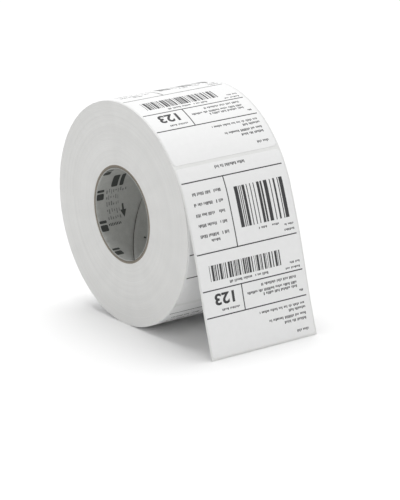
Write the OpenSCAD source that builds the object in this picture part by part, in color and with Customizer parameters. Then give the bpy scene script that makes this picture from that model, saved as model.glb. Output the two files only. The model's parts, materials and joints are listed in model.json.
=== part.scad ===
// Roll of die-cut thermal labels on a cardboard core, with a free tail of web that hangs to the floor.
// The core's axis runs along Y. The origin is on that axis, halfway along the core. +Z is up, and the tail is on +X.

/* [Roll] */
// Diameter over the outermost labels
roll_d = 187.4; // [180:0.2:200]
// Depth that the roll's own weight presses flat where it stands
foot_press = 0.08; // [0.04:0.01:0.1]

/* [Web] */
// Width of the release liner, edge to edge
liner_w = 104; // [102:0.5:110]
// Thickness of the release liner
liner_t = 0.1; // [0.08:0.01:0.15]
// Width of a label across the web
label_w = 101.6; // [90:0.2:102]
// Length of a label along the web
label_l = 152; // [148:0.5:155]
// Bare liner between one label and the next
label_gap = 3; // [2:0.5:4]
// Thickness of a label with its adhesive
label_t = 0.15; // [0.12:0.01:0.2]
// Radius of a label's die-cut corners
corner_r = 3.2; // [1:0.1:6]

/* [Core] */
// Diameter of the core's bore
bore_d = 76.2; // [75:0.1:78]
// Thickness of the paper ply on the inside and on the outside of the core
facing_t = 0.4; // [0.2:0.05:0.5]
// Thickness of one board ply
board_t = 0.5; // [0.4:0.05:0.7]
// Length of the tape that starts the web, around the core
tape_l = 25; // [10:1:50]
// Width of the tape along the core
tape_w = 96; // [50:1:100]
// Thickness of the tape
tape_t = 0.1; // [0.08:0.01:0.12]

/* [Tail] */
// Height of the line where the web leaves the roll, as an angle above the horizontal
leave_angle = 15.3; // [5:0.1:30]
// Height of the tail's end above the floor
end_clear = 0.3; // [0.1:0.1:2]
// Web that stays with the roll past the line where it leaves
stub_l = 8; // [8:0.5:12]
// Slit across the paper at each line where it bends
slit = 0.4; // [0.35:0.05:0.6]
// Bare liner at the tail's end, before the first label
lead_l = 1.6; // [1:0.1:3]
// Distance from the tail's end to the line where the first label peels back
peel_l = 78; // [40:1:90]
// Layer of adhesive under the peeled end
glue_t = 0.02; // [0.01:0.01:0.03]

/* [Hidden] */
$fn = 360;
BOARD_PLIES = 4;

roll_r = roll_d / 2;
bore_r = bore_d / 2;
board_r = bore_r + facing_t;
core_r = board_r + BOARD_PLIES * board_t + facing_t;
turn_t = liner_t + label_t;
label_pitch = label_l + label_gap;
// The outer turn is a spiral of two half circles, so it ends one thickness lower than it starts
lowest_r = roll_r - turn_t / 2 * (1 - sin(leave_angle));
floor_h = lowest_r - foot_press;
tail_l = ((roll_r - turn_t) * sin(leave_angle) + floor_h - end_clear) / cos(leave_angle);
peel_s = tail_l - peel_l;
cut_reach = 2;

// Angle around the roll, past the leaving line, of a length of web measured from the tail's end
function web_angle(along) = (along - tail_l) / roll_r * 180 / PI;
function label_from(n) = web_angle(lead_l + (n - 1) * label_pitch);
function label_to(n) = web_angle(lead_l + (n - 1) * label_pitch + label_l);

// Frame whose +X runs through the leaving line and whose -Z runs down the tail
module from_leaving_line() {
    rotate([0, -leave_angle, 0]) children();
}

// Part of a ring around the Y axis, of outer radius r and thickness t
module ring(r, t, from, to, w) {
    rotate([90, 0, 0])
        rotate([0, 0, from])
            rotate_extrude(angle = to - from)
                translate([r - t, -w / 2]) square([t, w]);
}

module tube(r, t, w) {
    rotate([90, 0, 0])
        rotate_extrude()
            translate([r - t, -w / 2]) square([t, w]);
}

// A layer of the outer turn, whose outer face lies depth below the turn's own
module wrap(depth, t, from, to, w) {
    if (from < 180)
        ring(roll_r - depth, t, from, min(to, 180), w);
    if (to > 180)
        translate([-turn_t / 2, 0, 0])
            ring(roll_r - depth - turn_t / 2, t, max(from, 180), to, w);
}

// A flat layer of the tail, between two distances below the leaving line
module strip(depth, t, from, to, w) {
    translate([roll_r - depth - t, -w / 2, -to]) cube([t, w, to - from]);
}

// A wedge around the Y axis, for angles up to about 120 degrees apart
module wedge(from, to) {
    rotate([90, 0, 0])
        linear_extrude(2 * liner_w, center = true)
            polygon(concat([[0, 0]], [for (part = [0 : 1 / 4 : 1])
                2 * roll_r * [cos(from + part * (to - from)), sin(from + part * (to - from))]]));
}

// The waste outside the two rounded corners of a label's edge, for a label that lies towards +Z.
// The arc is a hair over the corner's radius, so it crosses the label's edges cleanly.
module corner_waste() {
    for (side = [0, 1])
        mirror([0, side, 0])
            translate([roll_r - cut_reach, -label_w / 2, 0])
                rotate([90, 0, 90])
                    linear_extrude(2 * cut_reach)
                        difference() {
                            translate([-cut_reach, -cut_reach]) square(corner_r + cut_reach);
                            translate([corner_r, corner_r]) circle(1.01 * corner_r);
                        }
}

module corner_waste_at(angle, towards_more) {
    rotate([0, -angle, 0])
        rotate([towards_more ? 0 : 180, 0, 0]) corner_waste();
}

module whole_label(n) {
    from_leaving_line()
        difference() {
            intersection() {
                wrap(0, label_t, 0, 360, label_w);
                wedge(label_from(n), label_to(n));
            }
            corner_waste_at(label_from(n), true);
            corner_waste_at(label_to(n), false);
        }
}

module core_inner_facing() {
    color("darkgray") tube(board_r, facing_t, liner_w);
}

module core_board_ply(n) {
    color("tan") tube(board_r + n * board_t, board_t, liner_w);
}

module core_outer_facing() {
    color("burlywood") tube(core_r, facing_t, liner_w);
}

// The tape lies over the web's inner end and holds it to the core
module start_tape() {
    color("lightyellow") ring(core_r + tape_t, tape_t, 0, tape_l / core_r * 180 / PI, tape_w);
}

module wound_web() {
    color("gainsboro")
        difference() {
            from_leaving_line() wrap(turn_t, roll_r - core_r, 0, 360, liner_w);
            rotate([90, 0, 0]) cylinder(h = liner_w + 2 * cut_reach, r = core_r, center = true);
            start_tape();
        }
}

module outer_turn_liner() {
    color("whitesmoke")
        from_leaving_line() {
            wrap(label_t, liner_t, 0, 360, liner_w);
            strip(label_t, liner_t, 0, stub_l, liner_w);
        }
}

module label_1_on_roll() {
    color("white")
        from_leaving_line()
            difference() {
                union() {
                    wrap(0, label_t, 0, label_to(1), label_w);
                    strip(0, label_t, 0, stub_l, label_w);
                }
                corner_waste_at(label_to(1), false);
            }
}

module label_2() {
    color("white") whole_label(2);
}

module label_3() {
    color("white") whole_label(3);
}

// The roll stands on this label
module label_4() {
    color("white")
        difference() {
            whole_label(4);
            translate([-roll_r, -liner_w, -floor_h - roll_r]) cube([2 * roll_r, 2 * liner_w, roll_r]);
        }
}

// The rest of this label lies under the first one
module label_5() {
    color("white")
        from_leaving_line()
            difference() {
                wrap(0, label_t, label_from(5), min(label_to(5), 360), label_w);
                corner_waste_at(label_from(5), true);
            }
}

module tail_liner() {
    color("whitesmoke")
        from_leaving_line() strip(label_t, liner_t, stub_l + slit, tail_l, liner_w);
}

module label_1_on_tail() {
    color("white")
        from_leaving_line() strip(0, label_t, stub_l + slit, peel_s, label_w);
}

module label_1_free_end() {
    color("white")
        from_leaving_line()
            difference() {
                strip(0, label_t - glue_t, peel_s + slit, tail_l - lead_l, label_w);
                translate([0, 0, lead_l - tail_l]) corner_waste();
            }
}

core_inner_facing();
core_board_ply(1);  // core_board_ply_1
core_board_ply(2);  // core_board_ply_2
core_board_ply(3);  // core_board_ply_3
core_board_ply(4);  // core_board_ply_4
core_outer_facing();
start_tape();
wound_web();
outer_turn_liner();
label_1_on_roll();
label_2();
label_3();
label_4();
label_5();
tail_liner();
label_1_on_tail();
label_1_free_end();
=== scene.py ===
"""Visual model of a roll of thermal shipping labels: the wound web, its core, the free tail and the print.

Lengths are in metres. Along the web, u is the distance from the tail's end, v is the distance across the web
from its middle, and depth is measured down from the outer face of the outermost label.
"""
import json
import math
import random

import bmesh
import bpy
from mathutils import Matrix, Vector


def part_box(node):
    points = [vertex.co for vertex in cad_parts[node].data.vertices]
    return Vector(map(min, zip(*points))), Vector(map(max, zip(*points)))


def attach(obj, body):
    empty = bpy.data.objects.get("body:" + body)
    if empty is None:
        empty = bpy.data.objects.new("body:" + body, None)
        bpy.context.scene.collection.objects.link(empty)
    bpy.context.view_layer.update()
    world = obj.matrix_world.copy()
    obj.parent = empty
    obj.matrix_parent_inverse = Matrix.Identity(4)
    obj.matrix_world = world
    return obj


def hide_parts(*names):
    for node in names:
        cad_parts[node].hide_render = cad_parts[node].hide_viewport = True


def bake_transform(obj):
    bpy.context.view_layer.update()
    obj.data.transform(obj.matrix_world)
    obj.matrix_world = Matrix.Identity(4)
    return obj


MM = 0.001
TWO_PI = 2 * math.pi

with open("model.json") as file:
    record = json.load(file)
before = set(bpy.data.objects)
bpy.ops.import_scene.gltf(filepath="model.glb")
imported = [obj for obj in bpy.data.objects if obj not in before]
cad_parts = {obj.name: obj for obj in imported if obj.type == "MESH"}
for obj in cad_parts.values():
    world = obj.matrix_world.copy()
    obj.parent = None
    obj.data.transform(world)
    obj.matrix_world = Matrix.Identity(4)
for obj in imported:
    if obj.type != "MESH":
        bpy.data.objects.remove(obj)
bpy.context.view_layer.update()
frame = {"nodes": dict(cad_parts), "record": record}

# ---------------------------------------------------------------- sizes, from the frame and the design

LABEL_T = 0.15 * MM
LINER_T = 0.10 * MM
TURN_T = LABEL_T + LINER_T
LEAVE = math.radians(15.3)
LABEL_L = 152 * MM
LABEL_GAP = 3 * MM
LEAD_L = 1.6 * MM
CORNER_R = 3.2 * MM
STUB_L = 8 * MM
PEEL_L = 78 * MM
BEND_L = 16 * MM
# The print's thin slabs: their thickness on a label and in the bore, and how deep they are sunk
INK_T = 0.02 * MM
CORE_INK_T = 0.03 * MM
INK_DEPTH = 0.01 * MM

ROLL_R = LABEL_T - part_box("outer_turn_liner")[0][0]
HALF_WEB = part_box("outer_turn_liner")[1][1]
HALF_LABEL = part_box("label_2")[1][1]
CORE_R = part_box("core_outer_facing")[1][0]
BORE_R = frame["record"]["mounts"][0]["dims"]["r_mm"] * MM
BOARD_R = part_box("core_inner_facing")[1][0]
FLOOR_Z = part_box("label_4")[0][2]
TAIL_L = ((ROLL_R - TURN_T) * math.sin(LEAVE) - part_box("tail_liner")[0][2]) / math.cos(LEAVE)
TURN_END = TAIL_L + TWO_PI * ROLL_R
LABEL_COUNT = 5
# Where the liner is divided into the tail's piece and the turn's, and the first label into its two pieces
LINER_CUT_U = TAIL_L + 60 * MM
LABEL_CUT_U = 84 * MM
# The step between a sheet's rows of points
ROW_STEP = 1.5 * MM
# The stretch of web that stands off the straight line, and by how much
BOW_FROM = 20 * MM
BOW_TO = 160 * MM
BOW = 2 * MM
# The core's paper: the length of one turn of its helix, where its seam starts, and the seam's width
SEAM_LEAD = 149 * MM
SEAM_START = -44.4 * MM + SEAM_LEAD * -82.8 / 360
SEAM_GAP = 0.9 * MM
# The print of these labels sits a little off its place along the web
PRINT_SHIFT = {2: 1.3 * MM, 5: -2.4 * MM}


def web_point(u, v, depth, bowed=True):
    """The place of a point of the web: up the tail, then along the two half circles of the outer turn."""
    past = u - TAIL_L
    angle = past / ROLL_R
    if bowed and BOW_FROM < u < BOW_TO:
        # The stiff web stands off a little where it leaves the roll
        depth -= BOW * math.sin(math.pi * (u - BOW_FROM) / (BOW_TO - BOW_FROM)) ** 2
    if past <= 0:
        x, z = ROLL_R - depth, past
    elif angle <= math.pi:
        x, z = (ROLL_R - depth) * math.cos(angle), (ROLL_R - depth) * math.sin(angle)
    else:
        r = ROLL_R - depth - TURN_T / 2
        x, z = r * math.cos(angle) - TURN_T / 2, r * math.sin(angle)
    height = x * math.sin(LEAVE) + z * math.cos(LEAVE)
    return Vector((x * math.cos(LEAVE) - z * math.sin(LEAVE), v, max(height, FLOOR_Z + depth)))


def label_start(n):
    return LEAD_L + (n - 1) * (LABEL_L + LABEL_GAP)


# ---------------------------------------------------------------- materials

def new_material(name, color, roughness):
    """A principled material with its own output, and object coordinates for its textures."""
    material = bpy.data.materials.new(name)
    material.use_nodes = True
    tree = material.node_tree
    shader = tree.nodes["Principled BSDF"]
    shader.inputs["Base Color"].default_value = (*color, 1)
    shader.inputs["Roughness"].default_value = roughness
    shader.inputs["Specular IOR Level"].default_value = 0.35
    place = tree.nodes.new("ShaderNodeTexCoord")
    return material, tree, shader, place.outputs["Object"]


def noise(tree, place, per_metre, detail=3.0, roughness=0.5):
    node = tree.nodes.new("ShaderNodeTexNoise")
    node.inputs["Scale"].default_value = per_metre
    node.inputs["Detail"].default_value = detail
    node.inputs["Roughness"].default_value = roughness
    tree.links.new(place, node.inputs["Vector"])
    return node.outputs["Fac"]


def ramp(tree, factor, low_color, high_color, low=0.3, high=0.7):
    node = tree.nodes.new("ShaderNodeValToRGB")
    node.color_ramp.elements[0].position = low
    node.color_ramp.elements[0].color = (*low_color, 1)
    node.color_ramp.elements[1].position = high
    node.color_ramp.elements[1].color = (*high_color, 1)
    tree.links.new(factor, node.inputs["Fac"])
    return node.outputs["Color"]


def multiply(tree, one, other, factor=1.0):
    node = tree.nodes.new("ShaderNodeMix")
    node.data_type = "RGBA"
    node.blend_type = "MULTIPLY"
    node.inputs["Factor"].default_value = factor
    tree.links.new(one, node.inputs["A"])
    tree.links.new(other, node.inputs["B"])
    return node.outputs["Result"]


def math_node(tree, operation, *values):
    node = tree.nodes.new("ShaderNodeMath")
    node.operation = operation
    for socket, value in zip(node.inputs, values):
        if isinstance(value, (int, float)):
            socket.default_value = value
        else:
            tree.links.new(value, socket)
    return node.outputs["Value"]


def map_range(tree, value, low, high):
    node = tree.nodes.new("ShaderNodeMapRange")
    node.inputs["To Min"].default_value = low
    node.inputs["To Max"].default_value = high
    tree.links.new(value, node.inputs["Value"])
    return node.outputs["Result"]


def bump(tree, shader, height, distance, strength=1.0):
    node = tree.nodes.new("ShaderNodeBump")
    node.inputs["Strength"].default_value = strength
    node.inputs["Distance"].default_value = distance
    tree.links.new(height, node.inputs["Height"])
    tree.links.new(node.outputs["Normal"], shader.inputs["Normal"])


def paper_material(name, color, variation, roughness, fibre_per_metre, relief):
    """Smooth paper: clouds a few millimetres across, fine fibres, and a roughness that follows them."""
    material, tree, shader, place = new_material(name, color, roughness)
    dark = [c * (1 - variation) for c in color]
    clouds = ramp(tree, noise(tree, place, 220, 4), dark, color)
    fibres = noise(tree, place, fibre_per_metre, 4, 0.65)
    grain = ramp(tree, fibres, [1 - variation] * 3, [1, 1, 1], 0.35, 0.6)
    tree.links.new(multiply(tree, clouds, grain), shader.inputs["Base Color"])
    tree.links.new(map_range(tree, fibres, roughness - 0.08, roughness + 0.08), shader.inputs["Roughness"])
    bump(tree, shader, fibres, relief)
    return material


def polar(tree, place):
    """(distance from the core's axis, angle round it in turns) as sockets."""
    split = tree.nodes.new("ShaderNodeSeparateXYZ")
    tree.links.new(place, split.inputs["Vector"])
    squares = math_node(
        tree, "ADD",
        math_node(tree, "POWER", split.outputs["X"], 2),
        math_node(tree, "POWER", split.outputs["Z"], 2),
    )
    angle = math_node(tree, "ARCTAN2", split.outputs["Z"], split.outputs["X"])
    return math_node(tree, "SQRT", squares), math_node(tree, "DIVIDE", angle, TWO_PI)


def combine(tree, x, y):
    node = tree.nodes.new("ShaderNodeCombineXYZ")
    for socket, value in zip(node.inputs, (x, y)):
        tree.links.new(value, socket)
    return node.outputs["Vector"]


def slit_edge_material():
    """The edges of the wound turns: fine rings, wider bands, and faint strokes of the slitting knife."""
    color = (0.735, 0.735, 0.722)
    material, tree, shader, place = new_material("slit_edges", color, 0.75)
    radius, turn = polar(tree, place)
    rings = noise(tree, combine(tree, radius, math_node(tree, "MULTIPLY", turn, 0.0004)), 2600, 2)
    bands = noise(tree, combine(tree, radius, math_node(tree, "MULTIPLY", turn, 0.002)), 150, 3)
    strokes = noise(tree, combine(tree, math_node(tree, "MULTIPLY", turn, 1.0), radius), 28, 4)
    tone = multiply(
        tree,
        multiply(tree, ramp(tree, rings, [0.93] * 3, [1, 1, 1]), ramp(tree, bands, [0.955] * 3, [1, 1, 1])),
        ramp(tree, strokes, [0.955] * 3, [1, 1, 1]),
    )
    base = tree.nodes.new("ShaderNodeRGB")
    base.outputs["Color"].default_value = (*color, 1)
    tree.links.new(multiply(tree, base.outputs["Color"], tone), shader.inputs["Base Color"])
    bump(tree, shader, rings, 0.03 * MM)
    return material


def board_material(name, color):
    """Brown recycled board: long fibres, flecks and a rough, matt face."""
    material, tree, shader, place = new_material(name, color, 0.9)
    fibres = noise(tree, place, 1400, 5, 0.7)
    flecks = noise(tree, place, 3600, 2)
    tone = multiply(
        tree,
        ramp(tree, fibres, [c * 0.72 for c in color], [min(1, c * 1.12) for c in color]),
        ramp(tree, flecks, [0.8] * 3, [1, 1, 1], 0.36, 0.44),
    )
    tree.links.new(tone, shader.inputs["Base Color"])
    bump(tree, shader, fibres, 0.06 * MM)
    return material


def ink_material(name, color, roughness):
    """Print: dark and even, with the faint speckle of the heated dots."""
    material, tree, shader, place = new_material(name, color, roughness)
    speckle = noise(tree, place, 4200, 2)
    lighter = [min(1, c + 0.05) for c in color]
    tree.links.new(ramp(tree, speckle, color, lighter, 0.4, 0.75), shader.inputs["Base Color"])
    tree.links.new(map_range(tree, speckle, roughness - 0.06, roughness + 0.06), shader.inputs["Roughness"])
    return material


LABEL = paper_material("label_paper", (0.84, 0.842, 0.84), 0.02, 0.5, 2600, 0.012 * MM)
LINER = paper_material("liner_paper", (0.785, 0.788, 0.776), 0.03, 0.38, 1800, 0.008 * MM)
EDGES = slit_edge_material()
FACING = paper_material("core_facing_paper", (0.46, 0.465, 0.445), 0.12, 0.7, 1500, 0.03 * MM)
BOARD_TONES = [
    # Ply 1 is much darker than the other plies: painted shade for the shadow in the bore paper's narrow seam,
    # where this ply shows through. It also makes this ply's thin ring at the core's cut ends read as a dark
    # gap.
    board_material("core_board_1_painted_seam_shade", (0.15, 0.14, 0.125)),
    board_material("core_board_2", (0.27, 0.24, 0.197)),
    board_material("core_board_3", (0.24, 0.215, 0.177)),
    board_material("core_board_4", (0.28, 0.25, 0.207)),
]
OUTER_FACING = board_material("core_outer_board", (0.31, 0.28, 0.235))
TAPE = paper_material("tape_paper", (0.62, 0.52, 0.34), 0.08, 0.6, 1600, 0.02 * MM)
LABEL_INK = ink_material("label_ink", (0.028, 0.028, 0.03), 0.42)
CORE_INK = ink_material("core_ink", (0.035, 0.038, 0.035), 0.6)
CORE_GREY_INK = ink_material("core_grey_ink", (0.17, 0.175, 0.168), 0.6)


# ---------------------------------------------------------------- mesh helpers

def finish_mesh(name, mesh, material, body=None):
    piece = bpy.data.objects.new(name, mesh)
    bpy.context.scene.collection.objects.link(piece)
    mesh.materials.append(material)
    if body:
        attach(piece, body)
    return piece


def mesh_from(name, points, faces, smooth=()):
    """A closed mesh with outward normals. smooth gives the indices of the faces that are shaded as smooth."""
    mesh = bpy.data.meshes.new(name)
    mesh.from_pydata([tuple(p) for p in points], [], faces)
    for index in smooth:
        mesh.polygons[index].use_smooth = True
    work = bmesh.new()
    work.from_mesh(mesh)
    bmesh.ops.recalc_face_normals(work, faces=work.faces)
    work.to_mesh(mesh)
    work.free()
    return mesh


def cut_flat(work, normal, place, clear_outer=False):
    """Cuts every face at a plane, and can clear what lies beyond it. Gives the new edges."""
    geometry = list(work.verts) + list(work.edges) + list(work.faces)
    cut = bmesh.ops.bisect_plane(
        work, geom=geometry, dist=1e-7, plane_co=place, plane_no=normal, clear_outer=clear_outer)
    return [e for e in cut["geom_cut"] if isinstance(e, bmesh.types.BMEdge)]


def mesh_of(work, name):
    """Makes a mesh of the working mesh, which is then freed."""
    mesh = bpy.data.meshes.new(name)
    work.to_mesh(mesh)
    work.free()
    return mesh


def rows_between(u_from, u_to, round_from, round_to):
    """Places along the web for a sheet's rows of points, close together where a corner is rounded."""
    corner_steps = 6
    corner = [CORNER_R * (1 - math.cos(k / corner_steps * math.pi / 2)) for k in range(corner_steps + 1)]
    start = [u_from + c for c in corner] if round_from else [u_from]
    end = [u_to - c for c in reversed(corner)] if round_to else [u_to]
    count = max(2, math.ceil((end[0] - start[-1]) / ROW_STEP))
    middle = [start[-1] + (end[0] - start[-1]) * k / count for k in range(1, count)]
    return start + middle + end


def half_width_at(u, u_from, u_to, half, round_from, round_to):
    """Half the sheet's width at u, less near a rounded end."""
    near = min(u - u_from if round_from else CORNER_R, u_to - u if round_to else CORNER_R)
    short = CORNER_R - min(near, CORNER_R)
    return half - CORNER_R + math.sqrt(max(CORNER_R ** 2 - short ** 2, 0))


def web_sheet(name, u_from, u_to, half, depth, thickness, round_from=False, round_to=False):
    """A layer of the web between two places along it, as a closed thin solid."""
    across = (-1, -0.98, -0.5, 0, 0.5, 0.98, 1)
    rows = rows_between(u_from, u_to, round_from, round_to)
    points, faces, smooth = [], [], []
    for level in (depth, depth + thickness):
        for u in rows:
            width = half_width_at(u, u_from, u_to, half, round_from, round_to)
            points += [web_point(u, width * share, level) for share in across]
    columns, layer = len(across), len(rows) * len(across)
    for level in (0, layer):
        for i in range(len(rows) - 1):
            for j in range(columns - 1):
                a = level + i * columns + j
                smooth.append(len(faces))
                faces.append((a, a + 1, a + columns + 1, a + columns))
    edge = [i * columns for i in range(len(rows))]
    edge += [(len(rows) - 1) * columns + j for j in range(1, columns)]
    edge += [i * columns + columns - 1 for i in range(len(rows) - 2, -1, -1)]
    edge += list(range(columns - 2, 0, -1))
    for k, a in enumerate(edge):
        b = edge[(k + 1) % len(edge)]
        faces.append((a, b, b + layer, a + layer))
    return mesh_from(name, points, faces, smooth)


# ---------------------------------------------------------------- the wound web

def winding_relief(count, deepest, seed):
    """How far each band of turns stands back from the roll's end: small steps, as bundles drift sideways."""
    draw = random.Random(seed)
    drift, steps = deepest / 2, []
    for _ in range(count):
        drift = min(max(drift + draw.uniform(-0.3, 0.3) * deepest, 0), deepest)
        steps.append(drift)
    return steps


def wound_web():
    """All the inner turns as one closed ring, whose ends are stepped and whose outside follows the spiral."""
    columns, bands, deepest = 288, 90, 0.05 * MM
    step = (ROLL_R - 2 * TURN_T - CORE_R) / bands
    angles = [TWO_PI * j / columns + LEAVE for j in range(columns)]
    points, faces, smooth = [], [], []
    ends = []
    for side in (-1, 1):
        relief = winding_relief(bands, deepest, 11 + side)
        rings = []
        for band in range(bands):
            for share in (0.06, 0.94):
                rings.append((CORE_R + (band + share) * step, side * (HALF_WEB - relief[band])))
        rings[0] = (CORE_R, rings[0][1])
        grid = []
        for r, y in rings:
            grid.append(range(len(points), len(points) + columns))
            points += [(r * math.cos(angle), y, r * math.sin(angle)) for angle in angles]
        rim = range(len(points), len(points) + columns + 1)
        for j in range(columns + 1):
            # The last point is on the far side of the spiral's step, at the same angle as the first
            u = TAIL_L + ROLL_R * TWO_PI * j / columns + (-1e-9 if j == columns else 1e-9)
            outer = web_point(u, 0, TURN_T, bowed=False)
            points.append((outer.x, side * HALF_WEB, outer.z))
        for inner, outer in zip(grid, grid[1:]):
            for j in range(columns):
                k = (j + 1) % columns
                smooth.append(len(faces))
                faces.append((inner[j], inner[k], outer[k], outer[j]))
        last = grid[-1]
        for j in range(columns):
            k = (j + 1) % columns
            face = [last[j], rim[j], rim[j + 1], last[k]]
            if j == 0:
                face.insert(1, rim[columns])
            faces.append(face)
        ends.append((grid[0], rim))
    (bore_a, rim_a), (bore_b, rim_b) = ends
    for j in range(columns):
        k = (j + 1) % columns
        smooth += [len(faces), len(faces) + 1]
        faces.append((rim_a[j], rim_a[j + 1], rim_b[j + 1], rim_b[j]))
        faces.append((bore_a[j], bore_a[k], bore_b[k], bore_b[j]))
    faces.append((rim_a[0], rim_a[columns], rim_b[columns], rim_b[0]))
    mesh = mesh_from("wound_turns", points, faces, smooth)
    piece = finish_mesh("wound_turns", mesh, EDGES, "root")
    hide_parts("wound_web")


# ---------------------------------------------------------------- the core

def tube(name, inner, outer, burr, material, node):
    """A ring of board whose cut ends are slightly rounded and ragged. burr is how ragged."""
    columns = 240
    end = -HALF_WEB
    soft = min(0.12 * MM, (outer - inner) / 4)
    profile = [
        (inner, end + soft), (inner + soft * 0.3, end + soft * 0.3), (inner + soft, end),
        (outer - soft, end), (outer - soft * 0.3, end + soft * 0.3), (outer, end + soft),
    ]
    profile += [(r, -y) for r, y in reversed(profile)]
    draw = random.Random(len(name) * 31 + int(outer * 1e6))
    waves = [(draw.randint(2, 40), draw.uniform(0, TWO_PI), draw.uniform(0.2, 1)) for _ in range(9)]
    points, faces, smooth = [], [], []
    for j in range(columns):
        angle = TWO_PI * j / columns
        ragged = burr * (0.5 + sum(a * math.sin(n * angle + p) for n, p, a in waves) / 18)
        for r, y in profile:
            points.append((r * math.cos(angle), y - math.copysign(ragged, y), r * math.sin(angle)))
    n = len(profile)
    for j in range(columns):
        k = (j + 1) % columns
        for i in range(n):
            smooth.append(len(faces))
            faces.append((j * n + i, j * n + (i + 1) % n, k * n + (i + 1) % n, k * n + i))
    piece = finish_mesh(name, mesh_from(name, points, faces, smooth), material, "root")
    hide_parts(node)


def core_plies():
    inner = BOARD_R
    for n, tone in enumerate(BOARD_TONES, 1):
        node = f"core_board_ply_{n}"
        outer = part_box(node)[1][0]
        tube(f"board_ply_{n}", inner, outer, 0.25 * MM, tone, node)
        inner = outer
    tube("outer_facing", inner, CORE_R, 0.15 * MM, OUTER_FACING, "core_outer_facing")


def core_point(angle, y, r):
    return Vector((r * math.cos(angle), y, r * math.sin(angle)))


def core_facing():
    """The bore's paper: one strip wound in a helix, whose edges leave a narrow seam."""
    turns, first_turn, per_turn, across = 2.2, -1.35, 180, 40
    strip_width = SEAM_LEAD - SEAM_GAP
    set_back = 0.02 * MM
    work = bmesh.new()
    grid = []
    for r in (BORE_R, BOARD_R):
        rows = []
        for i in range(int(turns * per_turn) + 1):
            angle = TWO_PI * first_turn + TWO_PI * i / per_turn
            edge_y = SEAM_START - SEAM_LEAD * angle / TWO_PI + SEAM_GAP / 2
            places = [core_point(angle, edge_y + strip_width * j / across, r) for j in range(across + 1)]
            rows.append([work.verts.new(place) for place in places])
        grid.append(rows)
    inner, outer = grid
    for rows in grid:
        for a, b in zip(rows, rows[1:]):
            for j in range(across):
                work.faces.new((a[j], a[j + 1], b[j + 1], b[j])).smooth = True
    for j in (0, across):
        for i in range(len(inner) - 1):
            work.faces.new((inner[i][j], inner[i + 1][j], outer[i + 1][j], outer[i][j]))
    for i in (0, -1):
        for j in range(across):
            work.faces.new((inner[i][j], inner[i][j + 1], outer[i][j + 1], outer[i][j]))
    for side in (-1, 1):
        rim = cut_flat(work, (0, side, 0), (0, side * (HALF_WEB - set_back), 0), clear_outer=True)
        bmesh.ops.holes_fill(work, edges=rim, sides=0)
    bmesh.ops.recalc_face_normals(work, faces=work.faces)
    piece = finish_mesh("bore_paper", mesh_of(work, "bore_paper"), FACING, "root")
    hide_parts("core_inner_facing")


def core_patch(work, angle_mid, y_mid, wide, long, round_r=0.0):
    """A flat mark on the bore, wide around it and long along it, as a thin slab on the paper."""
    steps = 4
    if round_r:
        outline = []
        for cx, cy, first in ((1, 1, 0), (-1, 1, 1), (-1, -1, 2), (1, -1, 3)):
            for k in range(steps + 1):
                turn = (first + k / steps) * math.pi / 2
                outline.append((cx * (wide / 2 - round_r) + round_r * math.cos(turn),
                                cy * (long / 2 - round_r) + round_r * math.sin(turn)))
    else:
        outline = [(wide / 2, long / 2), (-wide / 2, long / 2), (-wide / 2, -long / 2), (wide / 2, -long / 2)]
    core_polygon(work, angle_mid, y_mid, outline)


def core_polygon(work, angle_mid, y_mid, outline):
    work.faces.new([work.verts.new((angle_mid * BORE_R + x, y_mid + y, 0)) for x, y in outline])


def wrap_marks(name, work, material):
    """Turns flat marks (x around the bore, y along it) into thin slabs that lie on the bore's paper."""
    x = min(v.co.x for v in work.verts)
    high = max(v.co.x for v in work.verts)
    while x < high:
        cut_flat(work, (1, 0, 0), (x, 0, 0))
        x += 1 * MM
    extrude_slabs(work)
    for v in work.verts:
        r = BORE_R + INK_DEPTH - v.co.z * CORE_INK_T
        v.co = core_point(v.co.x / BORE_R, v.co.y, r)
    return finish_mesh(name, mesh_of(work, name), material, "root")


def extrude_slabs(work):
    """Gives flat faces at z 0 a copy at z 1 and the walls between, so each becomes a closed slab."""
    made = bmesh.ops.extrude_face_region(work, geom=list(work.faces))
    for v in made["geom"]:
        if isinstance(v, bmesh.types.BMVert):
            v.co.z = 1
    bmesh.ops.recalc_face_normals(work, faces=work.faces)


def core_print():
    """Generic marks where a core maker prints its own: squares near the mouth, blocks, bars and an arrow."""
    near = -HALF_WEB
    dark, grey = bmesh.new(), bmesh.new()
    for n in range(9):
        angle = math.radians(168.8 + 40 * n)
        core_patch(dark, angle + 1.9 * MM / BORE_R, near + 4.3 * MM, 5.6 * MM, 7 * MM, 1.2 * MM)
        core_patch(dark, angle - 3.4 * MM / BORE_R, near + 4.3 * MM, 2.4 * MM, 7 * MM, 0.8 * MM)
    core_patch(dark, math.radians(150.5), near + 17 * MM, 13 * MM, 6.4 * MM, 1.4 * MM)
    core_patch(dark, math.radians(150.5), near + 24 * MM, 13 * MM, 4 * MM, 1 * MM)
    draw = random.Random(5)
    for row in range(5):
        for n in range(9):
            wide = draw.uniform(1.5, 4.2) * MM
            y = near + (10.5 + 2.3 * n + draw.uniform(-0.3, 0.3)) * MM
            angle = math.radians(166 + 8.6 * row + draw.uniform(-1, 1))
            long = draw.uniform(0.6, 1.3) * MM
            # The last rows end early, to leave room for the arrow
            if row == 0 or n < 6:
                core_patch(grey, angle, y, wide, long)
    for n in range(8):
        wide = draw.uniform(1.6, 2.6) * MM
        core_patch(dark, math.radians(208.5), near + (9.6 + 1.6 * n) * MM, wide, 0.9 * MM)
    arrow_head = [(4.6 * MM, 0), (-2 * MM, 3 * MM), (-2 * MM, -3 * MM)]
    core_polygon(dark, math.radians(196), near + 26 * MM, arrow_head)
    core_patch(dark, math.radians(189.5), near + 26 * MM, 5.5 * MM, 1.8 * MM)
    core_patch(dark, math.radians(235.8), near + 36.3 * MM, 2.2 * MM, 2.2 * MM, 1.09 * MM)
    wrap_marks("bore_marks", dark, CORE_INK)
    wrap_marks("bore_strokes", grey, CORE_GREY_INK)


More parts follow.
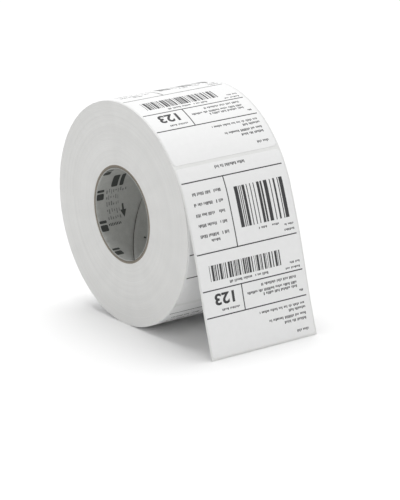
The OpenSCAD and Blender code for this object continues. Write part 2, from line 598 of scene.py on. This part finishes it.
def start_tape():
    """The tape between the core and the first turn is the CAD node itself, in its own material."""
    materials = frame["nodes"]["start_tape"].data.materials
    materials.clear()
    materials.append(TAPE)


# ---------------------------------------------------------------- liner and labels

def tail_bend(piece):
    """Works out the web's places at the hinge, where the tail swings, and a bend's length below it, but uses
    neither; it only bakes the piece's transform into its mesh.
    """
    hinge = TAIL_L - STUB_L
    web_point(hinge, 0, 0)
    web_point(hinge - BEND_L, 0, 0)
    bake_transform(piece)


def peel_bend(piece):
    """Works out the web's places where the first label peels back and a bend's length before it, but uses
    neither; it only bakes the piece's transform into its mesh.
    """
    web_point(PEEL_L, 0, 0)
    web_point(PEEL_L - BEND_L, 0, 0)
    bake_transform(piece)


def liner_piece(name, u_from, u_to, body=None):
    mesh = web_sheet(name, u_from, u_to, HALF_WEB, LABEL_T, LINER_T)
    return finish_mesh(name, mesh, LINER, body)


def liner():
    tail = liner_piece("liner_tail", 0, LINER_CUT_U)
    tail_bend(tail)
    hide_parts("tail_liner")
    turn = liner_piece("liner_turn", LINER_CUT_U, TURN_END, "root")
    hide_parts("outer_turn_liner")


def label_piece(name, u_from, u_to, round_from, round_to, body=None):
    mesh = web_sheet(name, u_from, u_to, HALF_LABEL, 0, LABEL_T, round_from, round_to)
    return finish_mesh(name, mesh, LABEL, body)


def labels():
    first_end = label_start(1) + LABEL_L
    upper = label_piece("label_1_upper", LABEL_CUT_U, first_end, False, True)
    tail_bend(upper)
    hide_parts("label_1_on_roll", "label_1_on_tail")
    lower = label_piece("label_1_lower", label_start(1), LABEL_CUT_U, True, False)
    peel_bend(lower)
    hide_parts("label_1_free_end")
    for n in range(2, LABEL_COUNT + 1):
        end = min(label_start(n) + LABEL_L, TURN_END)
        piece = label_piece(f"label_{n}_paper", label_start(n), end, True, end < TURN_END, "root")
        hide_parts(f"label_{n}")


# ---------------------------------------------------------------- the print on a label

def rectangle(work, p_from, p_to, v_from, v_to):
    corners = ((p_from, v_from), (p_to, v_from), (p_to, v_to), (p_from, v_to))
    work.faces.new([work.verts.new((p * MM, v * MM, 0)) for p, v in corners])


def bars(work, p_from, p_to, v_from, v_to, unit, seed):
    """A made-up pattern of bars and spaces that encodes nothing."""
    draw = random.Random(seed)
    v = v_from
    while v < v_to - unit:
        bar = unit * draw.choice((1, 1, 1, 2, 2, 3, 4))
        rectangle(work, p_from, p_to, v, min(v + bar, v_to))
        v += bar + unit * draw.choice((1, 1, 2, 2, 3))


def plain_words(work, p, v_from, v_to, height, seed):
    """A line of placeholder ticks as small as print, with no characters in it. It starts at the high v."""
    draw = random.Random(seed)
    v, left = v_to, draw.randint(4, 9)
    while v > v_from + 1:
        wide = draw.uniform(0.55, 1.0)
        tall = height * draw.choice((0.7, 0.7, 1, 1))
        rectangle(work, p + height / 2 - tall, p + height / 2, v - wide, v)
        v -= wide + draw.uniform(0.3, 0.5)
        left -= 1
        if left == 0:
            v -= 1.1
            left = draw.randint(3, 9)


def number(work, digits, p_mid, v_mid, height, width):
    """Plain digits, turned so that they read from the web's other end."""
    curve = bpy.data.curves.new("digits", "FONT")
    curve.body = digits
    curve.size = 1
    curve.offset = 0.032
    curve.resolution_u = 3
    source = bpy.data.objects.new("digits", curve)
    bpy.context.scene.collection.objects.link(source)
    bpy.context.view_layer.update()
    flat = bpy.data.meshes.new_from_object(source.evaluated_get(bpy.context.evaluated_depsgraph_get()))
    bpy.data.objects.remove(source)
    bpy.data.curves.remove(curve)
    xs = [v.co.x for v in flat.vertices]
    ys = [v.co.y for v in flat.vertices]
    mid_x, mid_y = (min(xs) + max(xs)) / 2, (min(ys) + max(ys)) / 2
    scale_x, scale_y = width / (max(xs) - min(xs)), height / (max(ys) - min(ys))
    made = []
    for v in flat.vertices:
        p = p_mid - (v.co.y - mid_y) * scale_y
        across = v_mid - (v.co.x - mid_x) * scale_x
        made.append(work.verts.new((p * MM, across * MM, 0)))
    for polygon in flat.polygons:
        work.faces.new([made[i] for i in polygon.vertices])
    bpy.data.meshes.remove(flat)


def label_print():
    """The print of one label, flat: x is the distance from the label's leading edge and y is v."""
    work = bmesh.new()
    line = 0.95
    for p in (31.7, 52.9, 82.4, 139.7):
        rectangle(work, p - line / 2, p + line / 2, -49.6, 48.5)
    rectangle(work, 31.7 + line / 2, 52.9 - line / 2, -12.3 - line / 2, -12.3 + line / 2)
    rectangle(work, 82.4 + line / 2, 139.7 - line / 2, -10 - line / 2, -10 + line / 2)
    number(work, "123", 44.9, -30, 9.4, 19)
    bars(work, 59.8, 72.4, -40.4, 29.5, 0.52, 1)
    bars(work, 96.4, 129.4, -3, 45, 0.85, 2)
    small, medium, tall = 1.7, 2.2, 2.6
    rows = [
        (5, 33.5, 45, medium), (14, 23, 44.5, medium), (17.9, 8, 45, medium), (22.7, 27, 45.5, medium),
        (26.1, 0, 45, medium), (36, -35, -17, small), (36.6, 42, 46, small), (40.6, 7, 40.7, medium),
        (43.8, -9.6, 40.8, medium), (48.4, 6, 41, medium), (56.6, -24, -1, medium), (56.6, 2, 15, medium),
        (56, 32, 46.5, small), (60.2, 37, 47, small), (93, 12, 21, small), (93, 24, 33, small),
        (86.8, 37, 47, small), (91, 38, 47, small), (91.6, -34, -25, medium), (147.9, -15.7, 14.6, tall),
    ]
    for k in range(5):
        rows += [(96 + 8.4 * k, -44, -25.5, tall), (96 + 8.4 * k, -23, -15.5, tall)]
    for seed, (p, v_from, v_to, height) in enumerate(rows):
        plain_words(work, p, v_from, v_to, height, 100 + seed)
    x = ROW_STEP
    while x < LABEL_L:
        cut_flat(work, (1, 0, 0), (x, 0, 0))
        x += ROW_STEP
    return work


def ink_on(name, flat, start, u_from, u_to, body=None):
    """The part of a label's print that lies between two places along the web, as thin slabs on the label."""
    work = flat.copy()
    for u, side in ((u_from, -1), (u_to, 1)):
        cut_flat(work, (side, 0, 0), (u - start, 0, 0), clear_outer=True)
    extrude_slabs(work)
    for v in work.verts:
        v.co = web_point(start + v.co.x, v.co.y, INK_DEPTH - v.co.z * INK_T)
    # Laying the print on the web mirrors it, so its faces are turned the right way out again
    bmesh.ops.reverse_faces(work, faces=work.faces)
    return finish_mesh(name, mesh_of(work, name), LABEL_INK, body)


def all_print():
    flat = label_print()
    tail_bend(ink_on("print_1_upper", flat, label_start(1), LABEL_CUT_U, label_start(1) + LABEL_L))
    peel_bend(ink_on("print_1_lower", flat, label_start(1), 0, LABEL_CUT_U))
    for n in range(2, LABEL_COUNT + 1):
        start = label_start(n)
        shift = PRINT_SHIFT.get(n, 0)
        ink_on(f"print_{n}", flat, start + shift, start, min(start + LABEL_L, TURN_END), "root")
    flat.free()


# ---------------------------------------------------------------- camera, floor and light

def camera():
    azimuth, elevation, roll = math.radians(55.2), math.radians(17.0), math.radians(-1.6)
    distance, shift_right, shift_up = 2.204, 0.0213, -0.0387
    level = math.cos(elevation)
    back = Vector((math.sin(azimuth) * level, -math.cos(azimuth) * level, math.sin(elevation)))
    right = Vector((math.cos(azimuth), math.sin(azimuth), 0))
    up = back.cross(right)
    right, up = right * math.cos(roll) + up * math.sin(roll), up * math.cos(roll) - right * math.sin(roll)
    data = bpy.data.cameras.new("camera")
    data.lens = 192.8
    data.clip_end = 50
    seen = bpy.data.objects.new("camera", data)
    seen.matrix_world = Matrix.Translation(back * distance + right * shift_right + up * shift_up) @ Matrix(
        (right, up, back)).transposed().to_4x4()
    bpy.context.scene.collection.objects.link(seen)
    bpy.context.scene.camera = seen


def floor():
    half = 30
    corners = [(-half, -half, FLOOR_Z), (half, -half, FLOOR_Z), (half, half, FLOOR_Z), (-half, half, FLOOR_Z)]
    mesh = bpy.data.meshes.new("floor")
    mesh.from_pydata(corners, [], [(0, 1, 2, 3)])
    material, tree, shader, place = new_material("floor", (0.86, 0.86, 0.86), 0.8)
    tree.links.new(ramp(tree, noise(tree, place, 3), [0.855] * 3, [0.865] * 3), shader.inputs["Base Color"])
    shader.inputs["Specular IOR Level"].default_value = 0
    mesh.materials.append(material)
    ground = bpy.data.objects.new("floor", mesh)
    bpy.context.scene.collection.objects.link(ground)


def soft_lamp(name, energy, degrees_wide, towards):
    """A distant lamp that lies in a direction from the object."""
    data = bpy.data.lights.new(name, "SUN")
    data.energy = energy
    data.angle = math.radians(degrees_wide)
    lamp = bpy.data.objects.new(name, data)
    lamp.rotation_euler = Vector(towards).to_track_quat("Z", "Y").to_euler()
    bpy.context.scene.collection.objects.link(lamp)


def light():
    world = bpy.data.worlds.new("studio")
    world.use_nodes = True
    tree = world.node_tree
    sky = tree.nodes["Background"]
    sky.inputs["Color"].default_value = (1, 1, 1, 1)
    split = tree.nodes.new("ShaderNodeSeparateXYZ")
    tree.links.new(tree.nodes.new("ShaderNodeTexCoord").outputs["Generated"], split.inputs["Vector"])
    # The studio's white walls stand round the floor, under a darker ceiling
    height = tree.nodes.new("ShaderNodeMapRange")
    height.inputs["From Min"].default_value = 0.08
    height.inputs["From Max"].default_value = 0.47
    height.inputs["To Min"].default_value = 1.08
    height.inputs["To Max"].default_value = 0.6
    tree.links.new(split.outputs["Z"], height.inputs["Value"])
    tree.links.new(height.outputs["Result"], sky.inputs["Strength"])
    bpy.context.scene.world = world
    soft_lamp("overhead", 1.95, 40, (-0.25, 0.11, 1))
    bpy.context.scene.view_settings.view_transform = "Standard"


wound_web()
core_plies()
core_facing()
core_print()
start_tape()
liner()
labels()
all_print()
camera()
floor()
light()
